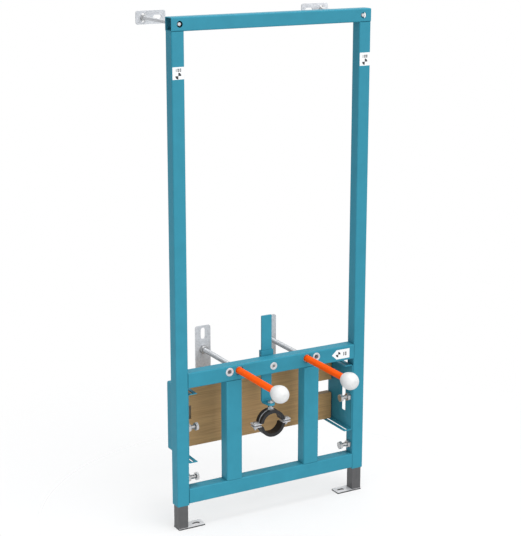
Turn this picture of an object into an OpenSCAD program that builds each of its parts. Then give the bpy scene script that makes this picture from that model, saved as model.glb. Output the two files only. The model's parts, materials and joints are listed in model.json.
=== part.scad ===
// Installation frame for a wall-hung bidet, for a stud wall or a pre-wall box.
// Origin: on the wall plane, at the axis of the left fixing rod.
// X runs to the right along the frame, Y into the wall and Z up.

/* [Frame] */
// Width over both uprights
frame_w = 500; // [430:1:600]
// Height from the lower end of the uprights to the top of the frame
frame_h = 1106; // [900:1:1250]
// Side of the square tube used for the uprights and the top bar
tube = 30; // [28:1:36]
// Height of the two cross rails
rail_h = 36; // [34:1:50]
// Width of the two posts between the rails
post_w = 40; // [30:1:50]
// Height of the lower rail above the end of the uprights
rail_lift = 3; // [0:0.5:10]
// Wall thickness of every tube
tube_wall = 2; // [1.5:0.1:2.5]
// Outer corner radius of the frame tubes
tube_r = 3; // [2.6:0.1:5]
// Distance of each post's centre line from the middle of the frame
post_offset = 103; // [75:1:130]
// Distance from the wall to the front of the frame
stand_off = 185; // [165:1:260]

/* [Fixing rods] */
// Spacing of the two fixing rods
rod_pitch = 180; // [160:1:190]
// Spacing of the second pair of threaded bushes
outer_pitch = 230; // [226:1:260]
// Height of the rods above the floor at this leg setting
fixing_height = 361; // [350:1:400]
// Height of the rods above the middle of the upper cross rail
rail_drop = 4; // [0:0.5:5]
// Diameter of a fixing rod
rod_d = 12; // [10:0.5:12.5]
// Outer diameter of the bushes welded through the mid rail
bush_d = 20; // [18:0.5:22]
// How far a bush stands proud of the rail
bush_proud = 1; // [0.5:0.1:2]
// How far the rod bushes are set back from the front of the rail
bush_inset = 3; // [1:0.5:8]
// Outer diameter of the bush of the drain bar's locking screw
centre_bush_d = 18; // [16:0.5:20]
// Outer diameter of the protective sleeve on a rod
sleeve_d = 15.5; // [15:0.5:18]
// Distance from the front of the frame to the open end of the cap
cap_start = 167; // [100:1:220]
// Length of the cap
cap_len = 38; // [34:1:50]
// Largest radius of the cap
cap_r = 19.8; // [18:0.1:24]
// Radius of the cap at its open end
cap_mouth = 15; // [14:0.5:17.5]
// Radius of its flat nose
cap_nose = 5.5; // [4:0.5:9]
// Wall thickness of the cap
cap_wall = 2.5; // [1.5:0.1:3]
// How far the sleeve goes into the cap
cap_grip = 14; // [8:1:20]

/* [Wall brackets] */
// Diameter of the upper rods that run back to the wall
wall_rod_d = 8; // [6:0.5:9]
// Thickness of the wall brackets
strip_t = 3; // [2:0.1:5]
// Width of a lower wall bracket
lower_strip_w = 40; // [32:1:50]
// Length of a lower wall bracket
lower_strip_h = 144; // [130:1:170]
// Height of its upper end above the rod
lower_strip_top = 58; // [50:1:62]
// Width of its slots
lower_slot_w = 12; // [8:0.5:14]
// End-to-end length of its slots
lower_slot_h = 28; // [18:1:32]
// Distance from the end of the bracket to the slot
lower_slot_margin = 5; // [4:0.5:9]
// Length of an upper wall bracket
upper_strip_w = 72; // [66:1:90]
// Height of an upper wall bracket
upper_strip_h = 30; // [28:1:40]
// Distance of the upper rod from the bracket's outer end
upper_rod_inset = 18; // [14:1:20]
// Distance of the upper rods from the outer side of the frame
upper_rod_edge = 20; // [16:0.5:22]
// Height of the upright slot that takes the upper rod
rod_slot_h = 20; // [14:1:22]
// Length of the fixing slot of an upper bracket
upper_slot_w = 20; // [14:1:22]
// Height of the fixing slot of an upper bracket
upper_slot_h = 10; // [7:0.5:12]
// Distance of that slot from the bracket's inner end
upper_slot_margin = 10; // [5:0.5:12]
// Corner radius of the wall brackets
strip_r = 5; // [2:0.5:8]
// Diameter of the access hole in front of each upper rod
access_d = 14; // [12:0.5:18]

/* [Legs] */
// Length of leg that shows between the upright and the foot plate
leg_out = 55; // [10:1:66]
// Length of a leg tube
leg_len = 400; // [260:1:480]
// Gap between a leg and the inside of its upright, on each side
leg_gap = 0.5; // [0.3:0.05:0.8]
// Wall thickness of a leg tube
leg_wall = 1.5; // [1:0.1:2.5]
// Thickness of a foot plate
plate_t = 3; // [2:0.5:6]
// Length of a foot plate
plate_w = 67; // [56:1:90]
// Distance of the floor slot from the inner end of the plate
plate_slot_inset = 17; // [12:1:20]
// Length of the floor slot
plate_slot_w = 18; // [12:1:20]
// Width of the floor slot
plate_slot_d = 9; // [7:0.5:12]
// Height of the lower locking bolt above the end of the upright
lock_low = 61; // [54:1:75]
// Height of the upper locking bolt above the end of the upright
lock_high = 182; // [160:1:200]
// Diameter of a locking bolt
lock_d = 10; // [8:0.5:12]
// Length of a locking bolt under its head
lock_len = 25; // [22:1:36]
// Thickness of a locking bolt's head
lock_head_t = 6.5; // [5:0.5:8]
// Width across flats of the locking bolts and nuts
lock_flats = 17; // [15:0.5:19]
// Thickness of the welded locking nuts
lock_nut_t = 8; // [6:0.5:9]

/* [Side brackets and board] */
// Sheet thickness of a side bracket
side_t = 2; // [1.5:0.1:3]
// Depth of a side bracket, from the front of the frame
side_depth = 111; // [95:1:125]
// Height of a side bracket
side_h = 166; // [156:1:170]
// Height of the side bracket's lower face above the end of the upright
side_low = 100; // [94:1:104]
// Width of its flanges
side_flange = 23; // [18:1:30]
// Length of the slot in each flange
flange_slot = 98; // [60:1:100]
// Width of that slot
flange_slot_w = 5; // [3:0.5:7]
// Distance from the front of the frame to the slot
flange_slot_start = 6; // [5:0.5:8]
// Distance of the slot from the outer face of the bracket's web
flange_slot_inset = 12.5; // [8:0.5:16]
// Outer bend radius of a side bracket
side_r = 4; // [3.2:0.1:6]
// Distance from the front of the frame to the bracket's front edge
side_front = 3; // [1:0.5:5]
// Width of the upright window in its web
window_w = 16; // [10:1:20]
// Height of that window
window_h = 70; // [40:1:80]
// Height of the window above the bracket's lower face
window_low = 40; // [30:1:60]
// Board thickness
board_t = 18; // [12:1:21]
// Board height
board_h = 150; // [130:1:152]
// Depth of the notch in each end of the board
notch_w = 48; // [20:1:60]
// Height of the notch
notch_h = 34; // [20:1:50]
// Height of the notch above the board's lower edge
notch_low = 67; // [50:1:80]

/* [Drain bracket] */
// Width of the sliding bar
bar_w = 26; // [20:1:32]
// Thickness of the sliding bar
bar_t = 5; // [3:0.5:6]
// Length of the sliding bar
bar_h = 212; // [170:1:260]
// Height of the bar's upper end above the rods
bar_top = 109; // [80:1:160]
// Wall thickness of the guide
guide_wall = 2.5; // [1.5:0.1:3]
// Gap between the bar and its guide, on each side
guide_gap = 0.5; // [0.3:0.05:0.8]
// Height of the guide
guide_h = 60; // [42:1:80]
// Distance from the front of the frame to the middle of the pipe clamp
clamp_y = 14; // [12:0.5:18]
// Radius of the tip of the bar's tongue
tongue_r = 10; // [8:0.5:12]
// Radius of the pipe that the clamp holds
pipe_r = 25; // [20:0.5:27]
// Rubber thickness inside the band
rubber_in = 4; // [2:0.5:6]
// Rubber thickness over the band
rubber_out = 1.5; // [1:0.1:3]
// Width of the rubber
rubber_w = 24; // [22:1:30]
// Thickness of the clamp band
band_t = 2; // [1.5:0.1:3]
// Width of the clamp band
band_w = 20; // [16:1:20]
// Distance from the clamp's axis to the end of an ear
ear_end = 49; // [46:1:56]
// Diameter of a clamp screw
screw_d = 6; // [4:0.5:7]
// Diameter of the stud that carries the clamp
stud_d = 8; // [6:0.5:8]
// Diameter of the screw that locks the bar
lock_screw_d = 10; // [8:0.5:12]
// Width across flats of its socket
socket_flats = 5; // [4:0.5:6]
// Gap between the bar's tongue and the clamp's boss
stud_gap = 4; // [2:0.5:10]

/* [Hidden] */
$fn = 64;

// Levels and planes of the frame, from the origin on the wall
x_mid = rod_pitch / 2;
y_front = -stand_off;
y_back = y_front + tube;
y_mid = y_front + tube / 2;
z_floor = -fixing_height;
z_low = z_floor + plate_t + leg_out;
z_top = z_low + frame_h;
rail_half = rail_h / 2;
z_rail = -rail_drop;
z_low_rail = z_low + rail_lift + rail_half;
// Half the clear width between the uprights
inner_half = frame_w / 2 - tube;
stile_offset = frame_w / 2 - tube / 2;
// Small clearances: a shaft in its hole, and parts that all but touch
fit = 0.05;
touch = 0.3;
// Distance from the end of a rod to what it meets
rod_end = 0.5;
// Length by which a cutting tool overshoots
over = 1;
// Corner radius of small plates and openings
soft_r = 2;
// Core diameter of the thread in the outer bushes
thread_core = rod_d - 1.5;
nut_flats = 13;
nut_t = 6.5;
big_nut_flats = 18;
big_nut_t = 10;
tube_inner = tube - 2 * tube_wall;
leg_side = tube_inner - 2 * leg_gap;
leg_r = tube_r - 1;
bush_front = y_front - bush_proud;
bush_back = y_back + bush_proud;
cap_base = y_front - cap_start;
cap_steps = 24;
// Where along its length the cap is widest, and how blunt its dome is
cap_bulge = 0.5;
cap_blunt = 1.6;
rod_front = cap_base - cap_len * 0.6;
rod_bush_front = y_front + bush_inset;
sleeve_len = rod_bush_front - cap_base + cap_grip;
upper_rod_offset = frame_w / 2 - upper_rod_edge;
upper_rod_z = z_top - tube / 2;
strip_front = -strip_t;
web_face = inner_half - side_t;
side_z = z_low + side_low;
board_half = inner_half - side_r;
board_y = y_front + side_depth - board_t;
board_z = side_z + side_t;
bar_y = y_back + guide_wall + guide_gap;
tongue_z = bar_top - bar_h;
clamp_mid = y_front + clamp_y;
band_r = pipe_r + rubber_in;
clamp_r = band_r + band_t + rubber_out;
boss_h = 8;
stud_nut_t = 4;
// Length of thread that shows past a nut
thread_end = 1.5;
clamp_z = tongue_z - stud_gap - boss_h - band_r - band_t;
ear_z = 2;
// Width of the band that shows between the two lips of the rubber
lip_gap = 5;
ear_screw = (clamp_r + ear_end) / 2;
screw_reach = 12;
screw_head_t = 3.5;
screw_nut_flats = 10;
screw_nut_t = 4;
teal = [0.20, 0.57, 0.68];
steel = [0.70, 0.71, 0.73];

module box(x0, x1, y0, y1, z0, z1) {
    translate([x0, y0, z0]) cube([x1 - x0, y1 - y0, z1 - z0]);
}

// Turns a child that stands on Z so that it points along +Y from the given point
module along_y(x, y, z) {
    translate([x, y, z]) rotate([-90, 0, 0]) children();
}

// The same, pointing along +X
module along_x(x, y, z) {
    translate([x, y, z]) rotate([0, 90, 0]) children();
}

module rounded_rect(w, d, r) {
    square([w - 2 * r, d], center = true);
    square([w, d - 2 * r], center = true);
    for (sx = [-1, 1])
        for (sy = [-1, 1])
            translate([sx * (w / 2 - r), sy * (d / 2 - r)]) circle(r);
}

// A slot with round ends, long along X
module slot_shape(length, width) {
    square([length - width, width], center = true);
    for (s = [-1, 1])
        translate([s * (length - width) / 2, 0]) circle(width / 2);
}

module tube_shape(w, d, r, wall) {
    difference() {
        rounded_rect(w, d, r);
        rounded_rect(w - 2 * wall, d - 2 * wall, max(r - wall, 0.3));
    }
}

// Frame tube that runs along X, centred on the given height
module tube_x(x0, x1, z, h) {
    translate([x0, y_mid, z]) rotate([90, 0, 90])
        linear_extrude(x1 - x0) tube_shape(tube, h, tube_r, tube_wall);
}

// Frame tube that runs along Z
module tube_z(x, z0, z1, w) {
    translate([x, y_mid, z0]) linear_extrude(z1 - z0) tube_shape(w, tube, tube_r, tube_wall);
}

module hex(flats, h) {
    cylinder(h = h, d = flats / cos(30), $fn = 6);
}

module nut(flats, h, bore) {
    difference() {
        hex(flats, h);
        translate([0, 0, -over]) cylinder(h = h + 2 * over, d = bore);
    }
}

module top_bar() color(teal) {
    difference() {
        tube_x(x_mid - frame_w / 2, x_mid + frame_w / 2, upper_rod_z, tube);
        for (s = [-1, 1]) {
            along_y(x_mid + s * upper_rod_offset, y_front - over, upper_rod_z)
                cylinder(h = tube / 2 + over, d = access_d);
            along_y(x_mid + s * upper_rod_offset, y_mid, upper_rod_z)
                cylinder(h = tube / 2 + over, d = wall_rod_d + 2 * fit);
        }
    }
}

module stile(side) color(teal) {
    difference() {
        tube_z(x_mid + side * stile_offset, z_low, z_top - tube, tube);
        for (z = [lock_low, lock_high])
            translate([x_mid + side * stile_offset, y_mid, z_low + z]) rotate([0, -side * 90, 0])
                cylinder(h = tube, d = lock_d + 2 * fit);
    }
}

module left_stile() stile(-1);
module right_stile() stile(1);

module mid_rail() color(teal) {
    difference() {
        tube_x(x_mid - inner_half, x_mid + inner_half, z_rail, rail_h);
        for (offset_x = [-outer_pitch / 2, -rod_pitch / 2, rod_pitch / 2, outer_pitch / 2])
            along_y(x_mid + offset_x, y_front - over, 0)
                cylinder(h = tube + 2 * over, d = bush_d + 2 * fit);
        along_y(x_mid, y_front - over, z_rail) cylinder(h = tube + 2 * over, d = centre_bush_d + 2 * fit);
    }
}

module bottom_rail() color(teal) tube_x(x_mid - inner_half, x_mid + inner_half, z_low_rail, rail_h);

module post(side) color(teal)
    tube_z(x_mid + side * post_offset, z_low_rail + rail_half, z_rail - rail_half, post_w);
module left_post() post(-1);
module right_post() post(1);

// Folded channel, open towards the middle of the frame
module channel_shape() {
    intersection() {
        difference() {
            rounded_rect(2 * side_flange, side_h, side_r);
            rounded_rect(2 * (side_flange - side_t), side_h - 2 * side_t, side_r - side_t);
        }
        translate([-side_flange, -side_h / 2]) square([side_flange, side_h]);
    }
}

module side_bracket(side) color(teal) {
    web_x = inner_half;
    difference() {
        translate([x_mid, 0, 0]) mirror([side > 0 ? 1 : 0, 0, 0])
            translate([side_flange - web_x, y_front + side_depth, side_z + side_h / 2]) rotate([90, 0, 0])
                linear_extrude(side_depth - side_front) channel_shape();
        // Upright window in the web, behind the upright
        translate([x_mid + side * web_x, y_back + side_t + window_w / 2, side_z + window_low + window_h / 2])
            rotate([90, 0, 90]) translate([0, 0, -side_t - over]) linear_extrude(2 * side_t + 2 * over)
                rounded_rect(window_w, window_h, soft_r);
        // Hole for the upper locking bolt
        along_x(x_mid + side * web_x - 2 * side_t, y_mid, z_low + lock_high)
            cylinder(h = 4 * side_t, d = lock_d + 2 * fit);
        // Long slots through both flanges
        translate([x_mid + side * (web_x - flange_slot_inset), y_front + flange_slot_start + flange_slot / 2,
                   side_z - over])
            rotate(90) linear_extrude(side_h + 2 * over) slot_shape(flange_slot, flange_slot_w);
    }
}

module left_side_bracket() side_bracket(-1);
module right_side_bracket() side_bracket(1);

module mounting_board() color([0.60, 0.47, 0.33]) {
    difference() {
        box(x_mid - board_half, x_mid + board_half, board_y, board_y + board_t, board_z, board_z + board_h);
        for (s = [-1, 1])
            box(x_mid + s * board_half - notch_w, x_mid + s * board_half + notch_w,
                board_y - over, board_y + board_t + over, board_z + notch_low, board_z + notch_low + notch_h);
    }
}

// Bush turned from bar, with a chamfered mouth
module bush(x, y, z, outer, bore) {
    length = bush_back - y;
    chamfer = 0.8;
    along_y(x, y, z) rotate_extrude() polygon([
        [bore / 2 + chamfer, 0], [outer / 2 - chamfer, 0], [outer / 2, chamfer],
        [outer / 2, length - chamfer], [outer / 2 - chamfer, length], [bore / 2, length],
        [bore / 2, chamfer]]);
}

module rod_bushes() color(steel)
    for (s = [-1, 1]) bush(x_mid + s * rod_pitch / 2, rod_bush_front, 0, bush_d, rod_d + 2 * fit);

module outer_bushes() color(steel)
    for (s = [-1, 1]) bush(x_mid + s * outer_pitch / 2, bush_front, 0, bush_d, thread_core);

module centre_bush() color(steel) bush(x_mid, bush_front, z_rail, centre_bush_d, lock_screw_d + 2 * fit);

// Threaded rod from inside the cap, through the rail and its bush, back to the wall
module fixing_rod(side) color(steel)
    along_y(x_mid + side * rod_pitch / 2, rod_front, 0) cylinder(h = -rod_front - rod_end, d = rod_d);
module left_fixing_rod() fixing_rod(-1);
module right_fixing_rod() fixing_rod(1);

module rod_sleeve(side) color([0.98, 0.33, 0.05])
    along_y(x_mid + side * rod_pitch / 2, cap_base - cap_grip, 0)
        difference() {
            cylinder(h = sleeve_len, d = sleeve_d);
            translate([0, 0, -over]) cylinder(h = sleeve_len + 2 * over, d = rod_d + 4 * fit);
        }
module left_rod_sleeve() rod_sleeve(-1);
module right_rod_sleeve() rod_sleeve(1);

// Half outline of the cap: it widens from its mouth, then closes in a dome with a small flat nose
function cap_outline(shrink) = [
    for (i = [0 : cap_steps])
        let (t = i / cap_steps, q = (t - cap_bulge) / (1 - cap_bulge))
        [t < cap_bulge ? cap_mouth - shrink + (cap_r - cap_mouth) * sin(90 * t / cap_bulge)
            : cap_nose - shrink + (cap_r - cap_nose) * sqrt(1 - pow(q, cap_blunt)),
         (cap_len - shrink) * t]];

module rod_cap(side) color("white")
    along_y(x_mid + side * rod_pitch / 2, cap_base, 0) rotate([180, 0, 0])
        difference() {
            rotate_extrude() polygon(concat([[0, 0]], cap_outline(0), [[0, cap_len]]));
            difference() {
                translate([0, 0, -fit]) rotate_extrude()
                    polygon(concat([[0, 0]], cap_outline(cap_wall), [[0, cap_len - cap_wall]]));
                translate([0, 0, -over]) cylinder(h = cap_len + over, r = sleeve_d / 2 + cap_wall);
            }
            translate([0, 0, -over]) cylinder(h = cap_grip + over + touch, d = sleeve_d + 2 * fit);
            cylinder(h = cap_base - rod_front + touch, d = rod_d + 2 * fit);
        }
module left_rod_cap() rod_cap(-1);
module right_rod_cap() rod_cap(1);

module upper_wall_rod(side) color(steel)
    along_y(x_mid + side * upper_rod_offset, y_front + tube_wall + rod_end, upper_rod_z)
        cylinder(h = -y_front - tube_wall - 2 * rod_end, d = wall_rod_d);
module left_upper_wall_rod() upper_wall_rod(-1);
module right_upper_wall_rod() upper_wall_rod(1);

module lower_wall_bracket(side) color(steel)
    translate([x_mid + side * rod_pitch / 2, 0, 0]) rotate([90, 0, 0]) linear_extrude(strip_t)
        difference() {
            translate([0, lower_strip_top - lower_strip_h / 2])
                rounded_rect(lower_strip_w, lower_strip_h, strip_r);
            circle(d = rod_d + 2 * fit);
            for (s = [-1, 1])
                translate([0, lower_strip_top - lower_strip_h / 2
                              + s * (lower_strip_h / 2 - lower_slot_margin - lower_slot_h / 2)])
                    rotate(90) slot_shape(lower_slot_h, lower_slot_w);
        }
module left_lower_wall_bracket() lower_wall_bracket(-1);
module right_lower_wall_bracket() lower_wall_bracket(1);

module upper_wall_bracket(side) color(steel)
    translate([x_mid + side * (upper_rod_offset + upper_rod_inset - upper_strip_w / 2), 0, upper_rod_z])
        rotate([90, 0, 0]) linear_extrude(strip_t)
            difference() {
                rounded_rect(upper_strip_w, upper_strip_h, strip_r);
                translate([side * (upper_strip_w / 2 - upper_rod_inset), 0])
                    rotate(90) slot_shape(rod_slot_h, wall_rod_d + 2 * fit);
                translate([side * (upper_slot_w / 2 + upper_slot_margin - upper_strip_w / 2), 0])
                    slot_shape(upper_slot_w, upper_slot_h);
            }
module left_upper_wall_bracket() upper_wall_bracket(-1);
module right_upper_wall_bracket() upper_wall_bracket(1);

module wall_rod_nuts() color(steel)
    for (s = [-1, 1]) {
        along_y(x_mid + s * rod_pitch / 2, strip_front - big_nut_t, 0)
            nut(big_nut_flats, big_nut_t, rod_d + 2 * fit);
        along_y(x_mid + s * upper_rod_offset, strip_front - nut_t, upper_rod_z)
            nut(nut_flats, nut_t, wall_rod_d + 2 * fit);
    }

module top_bar_nuts() color(steel)
    for (s = [-1, 1])
        along_y(x_mid + s * upper_rod_offset, y_back - tube_wall - nut_t, upper_rod_z)
            nut(nut_flats, nut_t, wall_rod_d + 2 * fit);

module leg(side) color([0.45, 0.45, 0.46])
    translate([x_mid + side * stile_offset, y_mid, z_floor + plate_t])
        linear_extrude(leg_len) tube_shape(leg_side, leg_side, leg_r, leg_wall);
module left_leg() leg(-1);
module right_leg() leg(1);

module foot_plate(side) color(steel)
    translate([x_mid + side * (stile_offset + leg_side / 2 - plate_w / 2), y_mid, z_floor])
        linear_extrude(plate_t) difference() {
            rounded_rect(plate_w, tube, soft_r);
            translate([side * (plate_slot_inset - plate_w / 2), 0]) slot_shape(plate_slot_w, plate_slot_d);
        }
module left_foot_plate() foot_plate(-1);
module right_foot_plate() foot_plate(1);

// Locking bolt that presses on the leg through the upright's inner wall
module lock_bolt(side, z) {
    translate([x_mid + side * (stile_offset - leg_side / 2 - touch), y_mid, z]) rotate([0, -side * 90, 0]) {
        cylinder(h = lock_len, d = lock_d);
        translate([0, 0, lock_len]) hex(lock_flats, lock_head_t);
    }
}

module lock_bolts(side) color(steel)
    for (z = [lock_low, lock_high]) lock_bolt(side, z_low + z);
module left_lock_bolts() lock_bolts(-1);
module right_lock_bolts() lock_bolts(1);

module lock_nuts() color(steel)
    for (s = [-1, 1]) {
        translate([x_mid + s * inner_half, y_mid, z_low + lock_low]) rotate([0, -s * 90, 0])
            nut(lock_flats, lock_nut_t, lock_d + 2 * fit);
        translate([x_mid + s * web_face, y_mid, z_low + lock_high]) rotate([0, -s * 90, 0])
            nut(lock_flats, lock_nut_t, lock_d + 2 * fit);
    }

module drain_guide() color(teal) {
    depth = bar_t + 2 * guide_gap + 2 * guide_wall;
    width = bar_w + 2 * guide_gap + 2 * guide_wall;
    difference() {
        box(x_mid - width / 2, x_mid + width / 2, y_back, y_back + depth,
            z_rail - guide_h / 2, z_rail + guide_h / 2);
        box(x_mid - bar_w / 2 - guide_gap, x_mid + bar_w / 2 + guide_gap,
            y_back + guide_wall, y_back + depth - guide_wall, z_rail - guide_h, z_rail + guide_h);
        along_y(x_mid, y_back - over, z_rail) cylinder(h = bush_proud + over, d = centre_bush_d + 2 * fit);
        along_y(x_mid, y_back - over, z_rail) cylinder(h = depth / 2 + over, d = lock_screw_d + 2 * fit);
    }
}

module drain_lock_screw() color(steel) {
    length = bar_y - touch - y_front;
    along_y(x_mid, y_front, z_rail) difference() {
        cylinder(h = length, d = lock_screw_d);
        translate([0, 0, -over]) cylinder(h = over + socket_flats, d = socket_flats / cos(30), $fn = 6);
    }
}

// Flat bar bent forward into a tongue that carries the clamp
module drain_bar() color(teal) {
    bend = 3;
    upright_z = tongue_z + bar_t + bend;
    difference() {
        union() {
            box(x_mid - bar_w / 2, x_mid + bar_w / 2, bar_y, bar_y + bar_t, upright_z, bar_top);
            translate([x_mid - bar_w / 2, bar_y - bend, upright_z]) rotate([90, 0, 90]) rotate([0, 0, -90])
                rotate_extrude(angle = 90) translate([bend, 0]) square([bar_t, bar_w]);
            translate([x_mid, 0, tongue_z]) linear_extrude(bar_t) {
                polygon([[-bar_w / 2, bar_y - bend], [bar_w / 2, bar_y - bend],
                         [tongue_r, clamp_mid], [-tongue_r, clamp_mid]]);
                translate([0, clamp_mid]) circle(tongue_r);
            }
        }
        translate([x_mid, clamp_mid, tongue_z - over]) cylinder(h = bar_t + 2 * over, d = stud_d + 2 * fit);
    }
}

module drain_stud() color(steel)
    translate([x_mid, clamp_mid, 0]) {
        translate([0, 0, clamp_z + band_r + band_t]) hex(nut_flats, boss_h);
        translate([0, 0, tongue_z - stud_gap]) cylinder(h = bar_t + stud_gap + stud_nut_t + thread_end, d = stud_d);
        translate([0, 0, tongue_z + bar_t]) hex(nut_flats, stud_nut_t);
    }

// Ring round the pipe axis from a section given as radius against width
module pipe_ring(r0, r1, w) {
    along_y(x_mid, clamp_mid - w / 2, clamp_z) difference() {
        cylinder(h = w, r = r1);
        translate([0, 0, -over]) cylinder(h = w + 2 * over, r = r0);
    }
}

// Keeps the upper or the lower half of the clamp, short of the split
module clamp_half(up, split) {
    size = 4 * clamp_r;
    intersection() {
        children();
        translate([x_mid - size / 2, clamp_mid - size / 2, up > 0 ? clamp_z + split : clamp_z - split - size])
            cube(size);
    }
}

module clamp_band(up) color(steel)
    difference() {
        union() {
            clamp_half(up, ear_z) pipe_ring(band_r, band_r + band_t, band_w);
            for (s = [-1, 1])
                translate([x_mid, clamp_mid, up > 0 ? clamp_z + ear_z : clamp_z - ear_z - band_t])
                    linear_extrude(band_t) difference() {
                        translate([s * (band_r + ear_end) / 2, 0])
                            rounded_rect(ear_end - band_r, band_w, soft_r);
                        translate([s * ear_screw, 0]) circle(d = screw_d + 2 * fit);
                    }
        }
        pipe_ring(0, band_r, band_w + 2 * over);
    }
module clamp_upper_band() clamp_band(1);
module clamp_lower_band() clamp_band(-1);

// Rubber that lines the band and folds over its edges
module clamp_lining(up) color([0.08, 0.08, 0.09])
    clamp_half(up, ear_z + band_t + touch) difference() {
        pipe_ring(pipe_r, clamp_r, rubber_w);
        pipe_ring(band_r - touch, band_r + band_t + touch, band_w + 2 * touch);
        pipe_ring(band_r, clamp_r + over, lip_gap);
        translate([x_mid, clamp_mid, clamp_z + band_r]) cylinder(h = clamp_r, d = nut_flats + lip_gap);
    }
module clamp_upper_lining() clamp_lining(1);
module clamp_lower_lining() clamp_lining(-1);

module clamp_screws() color(steel)
    for (s = [-1, 1])
        translate([x_mid + s * ear_screw, clamp_mid, clamp_z]) {
            translate([0, 0, -screw_reach]) cylinder(h = screw_reach + ear_z + band_t, d = screw_d);
            translate([0, 0, ear_z + band_t]) cylinder(h = screw_head_t, d = screw_nut_flats);
            translate([0, 0, -ear_z - band_t - screw_nut_t]) hex(screw_nut_flats, screw_nut_t);
        }

top_bar();
left_stile();
right_stile();
mid_rail();
bottom_rail();
left_post();
right_post();
left_side_bracket();
right_side_bracket();
mounting_board();
rod_bushes();
outer_bushes();
centre_bush();
left_fixing_rod();
right_fixing_rod();
left_rod_sleeve();
right_rod_sleeve();
left_rod_cap();
right_rod_cap();
left_upper_wall_rod();
right_upper_wall_rod();
left_lower_wall_bracket();
right_lower_wall_bracket();
left_upper_wall_bracket();
right_upper_wall_bracket();
wall_rod_nuts();
top_bar_nuts();
left_leg();
right_leg();
left_foot_plate();
right_foot_plate();
left_lock_bolts();
right_lock_bolts();
lock_nuts();
drain_guide();
drain_lock_screw();
drain_bar();
drain_stud();
clamp_upper_band();
clamp_lower_band();
clamp_upper_lining();
clamp_lower_lining();
clamp_screws();
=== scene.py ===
import json
import math

import bpy
from mathutils import Matrix, Vector


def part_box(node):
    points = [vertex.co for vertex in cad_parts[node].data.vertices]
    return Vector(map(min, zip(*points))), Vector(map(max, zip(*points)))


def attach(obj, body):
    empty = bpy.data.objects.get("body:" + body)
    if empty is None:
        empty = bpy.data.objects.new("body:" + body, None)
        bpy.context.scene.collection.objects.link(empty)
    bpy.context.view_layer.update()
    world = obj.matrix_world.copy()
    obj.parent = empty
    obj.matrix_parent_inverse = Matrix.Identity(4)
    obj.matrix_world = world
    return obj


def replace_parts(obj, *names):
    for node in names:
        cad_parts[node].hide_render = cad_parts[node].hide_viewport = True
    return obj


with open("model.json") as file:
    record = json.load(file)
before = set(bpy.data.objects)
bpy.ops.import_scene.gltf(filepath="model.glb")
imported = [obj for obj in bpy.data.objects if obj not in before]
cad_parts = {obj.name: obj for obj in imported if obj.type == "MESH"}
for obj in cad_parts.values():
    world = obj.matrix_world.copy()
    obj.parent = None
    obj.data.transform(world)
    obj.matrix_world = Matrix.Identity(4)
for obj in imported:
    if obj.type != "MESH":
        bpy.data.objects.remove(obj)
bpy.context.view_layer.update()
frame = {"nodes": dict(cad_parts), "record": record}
nodes = frame["nodes"]

# Planes and levels of the frame, in metres
X_MID = 0.090
Y_FRONT = -0.185
Y_MID = -0.170
Z_FLOOR = -0.361
# Distance of an upright's centre line from the middle of the frame
UPRIGHT_X = 0.235


# Materials

def shader(name):
    material = bpy.data.materials.new(name)
    material.use_nodes = True
    tree = material.node_tree
    return material, tree, tree.nodes["Principled BSDF"]


def node(tree, kind, **sockets):
    made = tree.nodes.new(kind)
    for key, value in sockets.items():
        made.inputs[key.replace("_", " ")].default_value = value
    return made


def object_coordinates(tree, scale=(1, 1, 1)):
    coordinates = tree.nodes.new("ShaderNodeTexCoord")
    mapping = tree.nodes.new("ShaderNodeMapping")
    mapping.inputs["Scale"].default_value = scale
    tree.links.new(coordinates.outputs["Object"], mapping.inputs["Vector"])
    return mapping.outputs["Vector"]


def noise(tree, vector, scale, detail=3.0, rough=0.55):
    made = node(tree, "ShaderNodeTexNoise", Scale=scale, Detail=detail, Roughness=rough)
    tree.links.new(vector, made.inputs["Vector"])
    return made.outputs["Fac"]


def ramp(tree, factor, stops):
    made = tree.nodes.new("ShaderNodeValToRGB")
    elements = made.color_ramp.elements
    while len(elements) < len(stops):
        elements.new(0.5)
    for element, (position, colour) in zip(elements, stops):
        element.position = position
        element.color = (*colour, 1.0)
    tree.links.new(factor, made.inputs["Fac"])
    return made.outputs["Color"]


def compute(tree, operation, *values):
    """The result of one operation on sockets or numbers."""
    made = tree.nodes.new("ShaderNodeMath")
    made.operation = operation
    for socket, value in zip(made.inputs, values):
        if isinstance(value, float):
            socket.default_value = value
        else:
            tree.links.new(value, socket)
    return made.outputs[0]


def mix(tree, factor, first, second, blend_type="MIX"):
    """Two colours, blended by a socket or a number."""
    made = tree.nodes.new("ShaderNodeMix")
    made.data_type = "RGBA"
    made.blend_type = blend_type
    if isinstance(factor, float):
        made.inputs[0].default_value = factor
    else:
        tree.links.new(factor, made.inputs[0])
    tree.links.new(first, made.inputs[6])
    tree.links.new(second, made.inputs[7])
    return made.outputs[2]


def edge_mask(tree, axis):
    """One on surfaces that run along the given axis, such as cut edges, else zero."""
    geometry = tree.nodes.new("ShaderNodeNewGeometry")
    normal = tree.nodes.new("ShaderNodeSeparateXYZ")
    tree.links.new(geometry.outputs["True Normal"], normal.inputs["Vector"])
    return compute(tree, "LESS_THAN", compute(tree, "ABSOLUTE", normal.outputs[axis]), 0.5)


def bump(tree, bsdf, height, strength, distance):
    made = node(tree, "ShaderNodeBump", Strength=strength, Distance=distance)
    tree.links.new(height, made.inputs["Height"])
    tree.links.new(made.outputs["Normal"], bsdf.inputs["Normal"])


def shade(colour, factor):
    return tuple(min(1.0, c * factor) for c in colour)


# Scale, strength and depth of the fine grain: plain finishes, galvanised sheet and paint
GRAIN = (900.0, 0.35, 0.00004)
ZINC_GRAIN = (700.0, 0.3, 0.00003)
PAINT_GRAIN = (1500.0, 0.35, 0.00003)


def grained(tree, bsdf, vector, scale, strength, depth):
    bump(tree, bsdf, noise(tree, vector, scale), strength, depth)


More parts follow.
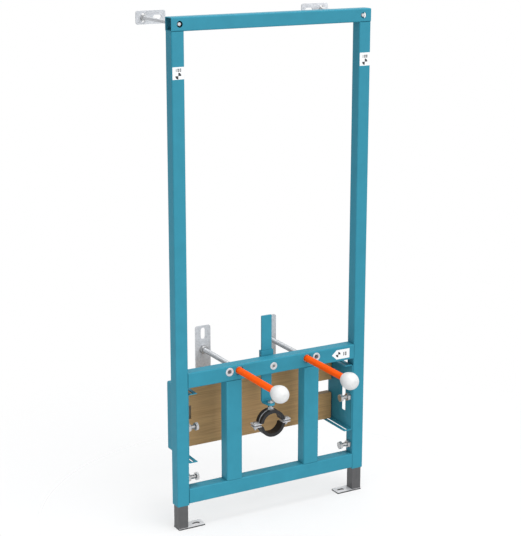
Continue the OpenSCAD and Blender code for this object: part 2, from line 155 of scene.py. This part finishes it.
def plain(name, colour, roughness, metallic=0.0, specular=0.5, vary=0.06, blotch=30.0):
    """A finish with a faint unevenness in tone and a fine grain in relief."""
    material, tree, bsdf = shader(name)
    vector = object_coordinates(tree)
    blotches = noise(tree, vector, blotch)
    tone = ramp(tree, blotches, [(0.3, shade(colour, 1 - vary)), (0.7, shade(colour, 1 + vary))])
    tree.links.new(tone, bsdf.inputs["Base Color"])
    bsdf.inputs["Metallic"].default_value = metallic
    bsdf.inputs["Specular IOR Level"].default_value = specular
    spread = roughness * 0.18
    gloss = ramp(tree, noise(tree, vector, blotch * 4),
                 [(0.3, (roughness - spread,) * 3), (0.7, (roughness + spread,) * 3)])
    tree.links.new(gloss, bsdf.inputs["Roughness"])
    grained(tree, bsdf, vector, *GRAIN)
    return material


def enamel(name, colour, roughness, specular):
    """Powder coat with painted shade where surfaces meet and inside the open tubes."""
    material, tree, bsdf = shader(name)
    vector = object_coordinates(tree)
    blotches = noise(tree, vector, 30.0)
    tone = ramp(tree, blotches, [(0.3, shade(colour, 0.96)), (0.7, shade(colour, 1.04))])
    # Painted shade: ambient occlusion darkens the paint colour in corners, joints and tube insides
    cavity = node(tree, "ShaderNodeAmbientOcclusion", Distance=0.03)
    cavity.samples = 8
    painted_shade = ramp(tree, cavity.outputs["AO"], [(0.10, (0.38, 0.44, 0.48)), (0.65, (1.0, 1.0, 1.0))])
    tree.links.new(mix(tree, 1.0, tone, painted_shade, "MULTIPLY"), bsdf.inputs["Base Color"])
    bsdf.inputs["Roughness"].default_value = roughness
    bsdf.inputs["Specular IOR Level"].default_value = specular
    grained(tree, bsdf, vector, *PAINT_GRAIN)
    return material


def galvanised(name, dark, light, metallic):
    """Zinc coat with the flat crystals that set as the bath cools."""
    material, tree, bsdf = shader(name)
    vector = object_coordinates(tree)
    cells = node(tree, "ShaderNodeTexVoronoi", Scale=260.0)
    tree.links.new(vector, cells.inputs["Vector"])
    split = tree.nodes.new("ShaderNodeSeparateColor")
    tree.links.new(cells.outputs["Color"], split.inputs["Color"])
    tone = ramp(tree, split.outputs["Red"], [(0.0, dark), (1.0, light)])
    tree.links.new(tone, bsdf.inputs["Base Color"])
    gloss = ramp(tree, split.outputs["Green"], [(0.0, (0.34,) * 3), (1.0, (0.52,) * 3)])
    tree.links.new(gloss, bsdf.inputs["Roughness"])
    bsdf.inputs["Metallic"].default_value = metallic
    grained(tree, bsdf, vector, *ZINC_GRAIN)
    return material


def sheared(name, face_colour, edge_shade_colour, axis):
    """Zinc-coated sheet whose cut edges, square to the given axis, are bare steel drawn near-black as
    painted shade.
    """
    material, tree, bsdf = shader(name)
    vector = object_coordinates(tree)
    blotches = noise(tree, vector, 90.0)
    face = ramp(tree, blotches, [(0.3, shade(face_colour, 0.95)), (0.7, shade(face_colour, 1.05))])
    # Painted shade: the side faces of the edges and the slot walls get a near-black colour
    edge_shade = ramp(tree, blotches, [(0.3, shade(edge_shade_colour, 0.8)), (0.7, shade(edge_shade_colour, 1.2))])
    tree.links.new(mix(tree, edge_mask(tree, axis), face, edge_shade), bsdf.inputs["Base Color"])
    bsdf.inputs["Metallic"].default_value = 0.35
    bsdf.inputs["Roughness"].default_value = 0.42
    grained(tree, bsdf, vector, *ZINC_GRAIN)
    return material


# Thickness of the board, and its number of plies
BOARD_T = 0.018
PLIES = 9


def plywood(name):
    """Face veneer with its grain along the board, and the plies in the sawn edges."""
    material, tree, bsdf = shader(name)
    stretched = object_coordinates(tree, (2.2, 60.0, 34.0))
    broad = noise(tree, stretched, 1.0, 6.0, 0.62)
    face = ramp(tree, broad, [(0.25, (0.430, 0.250, 0.098)), (0.5, (0.470, 0.280, 0.115)),
                              (0.78, (0.510, 0.310, 0.132))])
    fine_vector = object_coordinates(tree, (14.0, 900.0, 420.0))
    fine = noise(tree, fine_vector, 1.0, 3.0)
    pores = ramp(tree, fine, [(0.35, (0.72, 0.70, 0.68)), (0.62, (1.0, 1.0, 1.0))])
    grained_face = mix(tree, 0.8, face, pores, "MULTIPLY")
    # Bands of the cut edges: the plies, light and dark in turn
    coordinates = tree.nodes.new("ShaderNodeTexCoord")
    split = tree.nodes.new("ShaderNodeSeparateXYZ")
    tree.links.new(coordinates.outputs["Object"], split.inputs["Vector"])
    wave = compute(tree, "MULTIPLY", split.outputs["Y"], math.pi * PLIES / BOARD_T)
    sine = compute(tree, "SINE", wave)
    plies = ramp(tree, sine, [(0.0, (0.30, 0.205, 0.11)), (0.35, (0.30, 0.205, 0.11)),
                              (0.5, (0.15, 0.09, 0.045)), (1.0, (0.17, 0.10, 0.05))])
    tree.links.new(mix(tree, edge_mask(tree, "Y"), grained_face, plies), bsdf.inputs["Base Color"])
    bsdf.inputs["Roughness"].default_value = 0.62
    bump(tree, bsdf, fine, 0.35, 0.0002)
    return material


PAINT = enamel("blue_paint", (0.037, 0.250, 0.342), 0.44, 0.1)
ZINC = galvanised("zinc_steel", (0.50, 0.51, 0.53), (0.60, 0.61, 0.63), metallic=0.25)
BRIGHT = plain("zinc_fasteners", (0.46, 0.46, 0.46), 0.32, metallic=0.9, vary=0.08, blotch=120.0)
ROD = plain("rod_zinc", (0.42, 0.43, 0.445), 0.40, metallic=0.6, vary=0.05, blotch=120.0)
PLATE = sheared("foot_plate_zinc", (0.74, 0.74, 0.75), (0.035, 0.035, 0.037), "Z")
LEG = plain("leg_steel", (0.105, 0.105, 0.107), 0.44, metallic=0.75, vary=0.08, blotch=60.0)
ORANGE = plain("orange_plastic", (1.0, 0.105, 0.002), 0.6, specular=0.1, vary=0.04, blotch=60.0)
WHITE = plain("white_plastic", (0.69, 0.69, 0.68), 0.38, vary=0.02, blotch=60.0)
RUBBER = plain("black_rubber", (0.007, 0.007, 0.008), 0.5, specular=0.35, vary=0.2, blotch=90.0)
PLY = plywood("plywood")
PAPER = plain("label_paper", (0.84, 0.85, 0.85), 0.5, vary=0.015, blotch=80.0)
INK = plain("label_ink", (0.006, 0.006, 0.007), 0.5, vary=0.2, blotch=200.0)
GREY_INK = plain("label_grey_ink", (0.045, 0.045, 0.048), 0.5, vary=0.1, blotch=200.0)

by_slot = {
    "blue_paint": PAINT, "plywood": PLY, "leg_steel": LEG, "zinc_steel": ZINC, "zinc_fasteners": BRIGHT,
    "orange_plastic": ORANGE, "white_plastic": WHITE, "black_rubber": RUBBER,
}
for part in frame["record"]["subparts"]:
    thing = nodes[part["node"]]
    thing.data.materials.clear()
    thing.data.materials.append(by_slot[part["material_slot"]])
for name in ("left_foot_plate", "right_foot_plate"):
    nodes[name].data.materials[0] = PLATE


# Pieces

def piece(name, vertices, faces, material, body):
    mesh = bpy.data.meshes.new(name)
    mesh.from_pydata([tuple(v) for v in vertices], [], faces)
    mesh.validate()
    mesh.update()
    mesh.materials.append(material)
    made = bpy.data.objects.new(name, mesh)
    bpy.context.scene.collection.objects.link(made)
    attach(made, body)
    return made


def aimed(vertices, origin, direction):
    """Turns points that stand on Z so that they stand on the given direction."""
    turn = Vector((0, 0, 1)).rotation_difference(Vector(direction)).to_matrix()
    start = Vector(origin)
    return [start + turn @ Vector(v) for v in vertices]


def merge(parts):
    """Joins shapes into one list of points and one of faces."""
    vertices, faces = [], []
    for some, loops in parts:
        base = len(vertices)
        vertices += some
        faces += [tuple(i + base for i in loop) for loop in loops]
    return vertices, faces


def circle(radius, count, z):
    """Points round Z at the given level."""
    angles = [2 * math.pi * i / count for i in range(count)]
    return [(radius * math.cos(angle), radius * math.sin(angle), z) for angle in angles]


# Depth of a thread, and where along a turn its crest ends and its root runs, in pitches
THREAD_DEPTH = 0.58
CREST_END = 0.12
ROOT = (0.5, 0.62)


def thread(radius, pitch, length, segments=20):
    """An outside thread on Z from 0 to length, with flat capped ends."""
    root = radius - THREAD_DEPTH * pitch
    turns = length / pitch + 1.0
    count = int(turns * segments) + 1
    rows = []
    for i in range(count + 1):
        angle = 2 * math.pi * i / segments
        height = pitch * (i / segments - 1.0)
        row = []
        for share, r in ((0.0, radius), (CREST_END, radius), (ROOT[0], root), (ROOT[1], root)):
            z = min(max(height + share * pitch, 0.0), length)
            row.append((r * math.cos(angle), r * math.sin(angle), z))
        rows.append(row)
    vertices = [v for row in rows for v in row]
    faces = []
    for i in range(count):
        for k in range(3):
            a = 4 * i + k
            faces.append((a, a + 4, a + 5, a + 1))
        if i + segments <= count:
            a = 4 * i + 3
            b = 4 * (i + segments)
            if i + 1 + segments <= count:
                faces.append((a, a + 4, b + 4, b))
    base = len(vertices)
    for z in (0.0, length):
        vertices += circle(radius - 0.1 * pitch, segments, z)
    faces.append(tuple(base + i for i in reversed(range(segments))))
    faces.append(tuple(base + segments + i for i in range(segments)))
    return vertices, faces


# Radius of the flat end of a nut in shares of half its width, and points round a nut
END_SHARE = 0.96
NUT_POINTS = 72


def hexagon(flats, height, bore=0.0, low_chamfer=True):
    """A nut or a bolt head on Z, with its corners turned off at 30 degrees."""
    inner = flats / 2 * END_SHARE
    count = NUT_POINTS
    slope = math.tan(math.radians(30))
    rings = [[], [], [], []]
    for i in range(count):
        angle = 2 * math.pi * i / count
        off = (angle % (math.pi / 3)) - math.pi / 6
        r = flats / 2 / math.cos(off)
        drop = (r - inner) * slope
        c, s = math.cos(angle), math.sin(angle)
        rings[0].append((inner * c, inner * s, 0.0))
        rings[1].append((r * c, r * s, drop if low_chamfer else 0.0))
        rings[2].append((r * c, r * s, height - drop))
        rings[3].append((inner * c, inner * s, height))
    if bore:
        rings.insert(0, circle(bore / 2, count, 0.0))
        rings.append(circle(bore / 2, count, height))
    vertices = [v for ring in rings for v in ring]
    faces = []
    for level in range(len(rings) - 1):
        for i in range(count):
            j = (i + 1) % count
            a, b = level * count, (level + 1) * count
            faces.append((a + i, a + j, b + j, b + i))
    if bore:
        a, b = (len(rings) - 1) * count, 0
        for i in range(count):
            j = (i + 1) % count
            faces.append((a + i, a + j, b + j, b + i))
    else:
        faces.append(tuple(reversed(range(count))))
        faces.append(tuple(range((len(rings) - 1) * count, len(rings) * count)))
    return vertices, faces


def placed(shape, origin, direction):
    """A shape on Z, moved to the given origin and direction."""
    vertices, faces = shape
    return aimed(vertices, origin, direction), faces


# Radius and pitch of the threads
M12 = (0.006, 0.00175)
M10 = (0.005, 0.0015)
M8 = (0.004, 0.00125)
# Level of the upper rods above the fixing rods
UPPER_Z = 0.788
# Rods to the wall, threaded all along: place in X and Z, radius and pitch
RODS = {
    "left_fixing_rod": (0.0, 0.0, *M12), "right_fixing_rod": (0.180, 0.0, *M12),
    "left_upper_wall_rod": (-0.140, UPPER_Z, *M8), "right_upper_wall_rod": (0.320, UPPER_Z, *M8),
}
for name, (x, z, radius, pitch) in RODS.items():
    low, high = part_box(name)
    vertices, faces = placed(thread(radius, pitch, high[1] - low[1]), (x, low[1], z), (0, 1, 0))
    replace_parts(piece(name + "_thread", vertices, faces, ROD, "frame"), name)

# Nuts in front of the wall brackets: flats, height and bore by rod radius
STRIP_T = 0.003
NUTS = {M12[0]: (0.018, 0.010, 0.0122), M8[0]: (0.013, 0.0065, 0.0082)}
nut_parts = []
for x, z, radius, pitch in RODS.values():
    flats, height, bore = NUTS[radius]
    nut_parts.append(placed(hexagon(flats, height, bore), (x, -STRIP_T - height, z), (0, 1, 0)))
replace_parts(piece("wall_rod_nuts_turned", *merge(nut_parts), BRIGHT, "frame"), "wall_rod_nuts")

# Locking bolts: their tips end just short of the legs, their threads just under the heads
LEG_HALF = 0.0125
TIP_GAP = 0.0003
LOCK_LEN = 0.025
LOCK_HEAD = 0.0065
LOCK_FLATS = 0.017
LOCK_Z = (-0.242, -0.121)
for side, name in ((-1, "left_lock_bolts"), (1, "right_lock_bolts")):
    start = X_MID + side * (UPRIGHT_X - LEG_HALF - TIP_GAP)
    way = (-side, 0, 0)
    parts = []
    for z in LOCK_Z:
        parts.append(placed(thread(*M10, LOCK_LEN - 0.0005), (start, Y_MID, z), way))
        parts.append(placed(hexagon(LOCK_FLATS, LOCK_HEAD, low_chamfer=False),
                            (start - side * LOCK_LEN, Y_MID, z), way))
    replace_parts(piece(name + "_turned", *merge(parts), BRIGHT, "frame"), name)
# Their welded nuts: the lower ones sit on the upright, the upper ones on the side bracket
LOCK_NUT_T = 0.008
LOCK_NUT_BORE = 0.0101
NUT_FACES = (0.220, 0.218)
parts = []
for side in (-1, 1):
    for z, face in zip(LOCK_Z, NUT_FACES):
        parts.append(placed(hexagon(LOCK_FLATS, LOCK_NUT_T, LOCK_NUT_BORE),
                            (X_MID + side * face, Y_MID, z), (-side, 0, 0)))
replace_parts(piece("lock_nuts_turned", *merge(parts), BRIGHT, "frame"), "lock_nuts")


# Labels

def flat_shape(name, outline, thickness, material, lift):
    """A thin plate on the front of the frame: outline in X and Z, seen from the room."""
    y0 = Y_FRONT - lift
    y1 = y0 - thickness
    count = len(outline)
    vertices = [(x, y0, z) for x, z in outline] + [(x, y1, z) for x, z in outline]
    faces = [tuple(range(count)), tuple(reversed(range(count, 2 * count)))]
    for i in range(count):
        j = (i + 1) % count
        faces.append((i, i + count, j + count, j))
    return piece(name, vertices, faces, material, "frame")


def quarter(cx, cz, radius, start):
    """Outline of a quarter disc, from the given angle in degrees."""
    points = [(cx, cz)]
    for i in range(9):
        angle = math.radians(start + 90 * i / 8)
        points.append((cx + radius * math.cos(angle), cz + radius * math.sin(angle)))
    return points


def stroke(x0, x1, z0, z1):
    return [(x0, z0), (x1, z0), (x1, z1), (x0, z1)]


# Thickness of the label film and of the print on it
FILM = 0.00012
INK_T = 0.00003


def mark(name, cx, cz, radius):
    """Datum mark: two opposite quarters of a disc in black."""
    flat_shape(name + "_high", quarter(cx, cz, radius, 0), INK_T, INK, FILM)
    flat_shape(name + "_low", quarter(cx, cz, radius, 180), INK_T, INK, FILM)


def numeral(name, digit, x, z, height):
    """A figure made of straight strokes, a little over half as wide as it is high."""
    w = height * 0.55
    t = height * 0.22
    strokes = {
        "1": [(0.5 * w - t / 2, 0.5 * w + t / 2, 0, height)],
        "0": [(0, w, 0, t), (0, w, height - t, height), (0, t, t, height - t), (w - t, w, t, height - t)],
    }[digit]
    for i, (x0, x1, z0, z1) in enumerate(strokes):
        flat_shape(f"{name}_{i}", stroke(x + x0, x + x1, z + z0, z + z1), INK_T, GREY_INK, FILM)


# Each label with the levels of its lower edge, its upper edge and its mark
LABEL_HALF = 0.0137
for side, name, low, high, middle in ((-1, "left_label", 0.6722, 0.6987, 0.6797),
                                      (1, "right_label", 0.6748, 0.7045, 0.6837)):
    cx = X_MID + side * UPRIGHT_X
    flat_shape(name, stroke(cx - LABEL_HALF, cx + LABEL_HALF, low, high), FILM, PAPER, 0.0)
    mark(name + "_mark", cx, middle, 0.0072)
    for i, digit in enumerate("100"):
        numeral(f"{name}_digit{i}", digit, cx - 0.0068 + i * 0.0050, middle + 0.0090, 0.0066)

TAG_X = X_MID + 0.158
TAG_Z = -0.0045
TAG_HALF = 0.0115
TAG_LOW = TAG_Z - TAG_HALF
TAG_HIGH = TAG_Z + TAG_HALF
TAG_NECK = TAG_X + 0.013
TAG_END = TAG_X + 0.049
flat_shape("arrow_tag", [(TAG_X, TAG_Z), (TAG_NECK, TAG_LOW), (TAG_END, TAG_LOW), (TAG_END, TAG_HIGH),
                         (TAG_NECK, TAG_HIGH)], FILM, PAPER, 0.0)
mark("arrow_tag_mark", TAG_X + 0.0175, TAG_Z, 0.0065)
for i, digit in enumerate("10"):
    numeral(f"arrow_tag_digit{i}", digit, TAG_X + 0.0300 + i * 0.0057, TAG_Z - 0.0042, 0.0085)


# Rounded edges on the sheet, tube and board pieces
BEVELS = {
    "mounting_board": 0.0006, "top_bar": 0.0003, "left_side_bracket": 0.0004, "right_side_bracket": 0.0004,
    "left_foot_plate": 0.0004, "right_foot_plate": 0.0004, "drain_bar": 0.0004,
    "left_lower_wall_bracket": 0.0004, "right_lower_wall_bracket": 0.0004,
    "left_upper_wall_bracket": 0.0004, "right_upper_wall_bracket": 0.0004,
    "mid_rail": 0.0005, "bottom_rail": 0.0005, "left_post": 0.0005, "right_post": 0.0005,
    "clamp_upper_band": 0.0003, "clamp_lower_band": 0.0003, "drain_guide": 0.0004,
}
for name, width in BEVELS.items():
    weld = nodes[name].modifiers.new("weld", "WELD")
    weld.merge_threshold = 0.00001
    soften = nodes[name].modifiers.new("soften", "BEVEL")
    soften.width = width
    soften.segments = 2
    soften.limit_method = "ANGLE"
    soften.angle_limit = math.radians(50)
    soften.use_clamp_overlap = True

# Floor that fades into the white background
SPAN = 6.0
FADE_FROM = 0.35
FADE_TO = 1.1
FADE_LEAST = 0.62
floor_mesh = bpy.data.meshes.new("floor")
floor_mesh.from_pydata([(X_MID - SPAN, -SPAN, Z_FLOOR), (X_MID + SPAN, -SPAN, Z_FLOOR),
                        (X_MID + SPAN, SPAN, Z_FLOOR), (X_MID - SPAN, SPAN, Z_FLOOR)], [], [(0, 1, 2, 3)])
floor = bpy.data.objects.new("floor", floor_mesh)
bpy.context.scene.collection.objects.link(floor)
floor_material, tree, bsdf = shader("floor")
bsdf.inputs["Base Color"].default_value = (0.86, 0.86, 0.86, 1.0)
bsdf.inputs["Roughness"].default_value = 0.9
bsdf.inputs["Specular IOR Level"].default_value = 0.1
coordinates = tree.nodes.new("ShaderNodeTexCoord")
place = tree.nodes.new("ShaderNodeMapping")
place.inputs["Location"].default_value = (-X_MID, -Y_FRONT, -Z_FLOOR)
tree.links.new(coordinates.outputs["Object"], place.inputs["Vector"])
distance = tree.nodes.new("ShaderNodeVectorMath")
distance.operation = "LENGTH"
tree.links.new(place.outputs["Vector"], distance.inputs[0])
fade = node(tree, "ShaderNodeMapRange")
fade.inputs["From Min"].default_value = FADE_FROM
fade.inputs["From Max"].default_value = FADE_TO
fade.inputs["To Min"].default_value = FADE_LEAST
tree.links.new(distance.outputs["Value"], fade.inputs["Value"])
clear = tree.nodes.new("ShaderNodeBsdfTransparent")
blend = tree.nodes.new("ShaderNodeMixShader")
tree.links.new(fade.outputs["Result"], blend.inputs["Fac"])
tree.links.new(bsdf.outputs["BSDF"], blend.inputs[1])
tree.links.new(clear.outputs["BSDF"], blend.inputs[2])
tree.links.new(blend.outputs["Shader"], tree.nodes["Material Output"].inputs["Surface"])
floor_mesh.materials.append(floor_material)

# Studio light
world = bpy.data.worlds.new("studio")
bpy.context.scene.world = world
world.use_nodes = True
tree = world.node_tree
tree.nodes.clear()
path = tree.nodes.new("ShaderNodeLightPath")
ambient = node(tree, "ShaderNodeBackground", Color=(0.92, 0.95, 1.0, 1.0), Strength=0.48)
white = node(tree, "ShaderNodeBackground", Color=(1.0, 1.0, 1.0, 1.0), Strength=1.0)
choose = tree.nodes.new("ShaderNodeMixShader")
out = tree.nodes.new("ShaderNodeOutputWorld")
seen = path.outputs["Is Camera Ray"]
for kind in ("Is Glossy Ray", "Is Transmission Ray"):
    seen = compute(tree, "MAXIMUM", seen, path.outputs[kind])
tree.links.new(seen, choose.inputs["Fac"])
tree.links.new(ambient.outputs["Background"], choose.inputs[1])
tree.links.new(white.outputs["Background"], choose.inputs[2])
tree.links.new(choose.outputs["Shader"], out.inputs["Surface"])


def area_light(name, location, target, size, power):
    data = bpy.data.lights.new(name, "AREA")
    data.shape = "SQUARE"
    data.size = size
    data.energy = power
    lamp = bpy.data.objects.new(name, data)
    lamp.location = location
    aim = Vector(target) - Vector(location)
    lamp.rotation_euler = aim.to_track_quat("-Z", "Y").to_euler()
    bpy.context.scene.collection.objects.link(lamp)


TARGET = (X_MID, Y_FRONT, 0.2)
area_light("key", (1.6, -5.8, 2.6), TARGET, 6.5, 305)
area_light("top", (0.4, -0.6, 5.6), TARGET, 3.5, 210)
area_light("floor_bounce", (-1.5, -0.9, -0.25), (0.0, -0.1, -0.15), 0.9, 10)

# Camera: focal length and centre of view in picture points, then its three angles
IMAGE_W = 521
IMAGE_H = 536
FOCAL_PX = 1464.24
PRINCIPAL = (265.17, 261.2)
SENSOR = 36.0
camera_data = bpy.data.cameras.new("camera")
camera_data.sensor_fit = "HORIZONTAL"
camera_data.sensor_width = SENSOR
camera_data.lens = FOCAL_PX * SENSOR / IMAGE_W
camera_data.shift_x = -(PRINCIPAL[0] - IMAGE_W / 2) / IMAGE_W
camera_data.shift_y = (PRINCIPAL[1] - IMAGE_H / 2) / IMAGE_W
camera = bpy.data.objects.new("camera", camera_data)
bpy.context.scene.collection.objects.link(camera)
YAW = math.radians(29.43)
PITCH = math.radians(14.48)
ROLL = math.radians(0.10)
heading = Matrix.Rotation(-YAW, 3, "Z")
tilt = Matrix.Rotation(math.pi / 2 - PITCH, 3, "X")
roll = Matrix.Rotation(ROLL, 3, "Z")
camera.rotation_euler = (heading @ tilt @ roll).to_euler()
camera.location = (-1.5061, -2.9729, 1.0754)
bpy.context.scene.camera = camera
bpy.context.scene.view_settings.view_transform = "Standard"
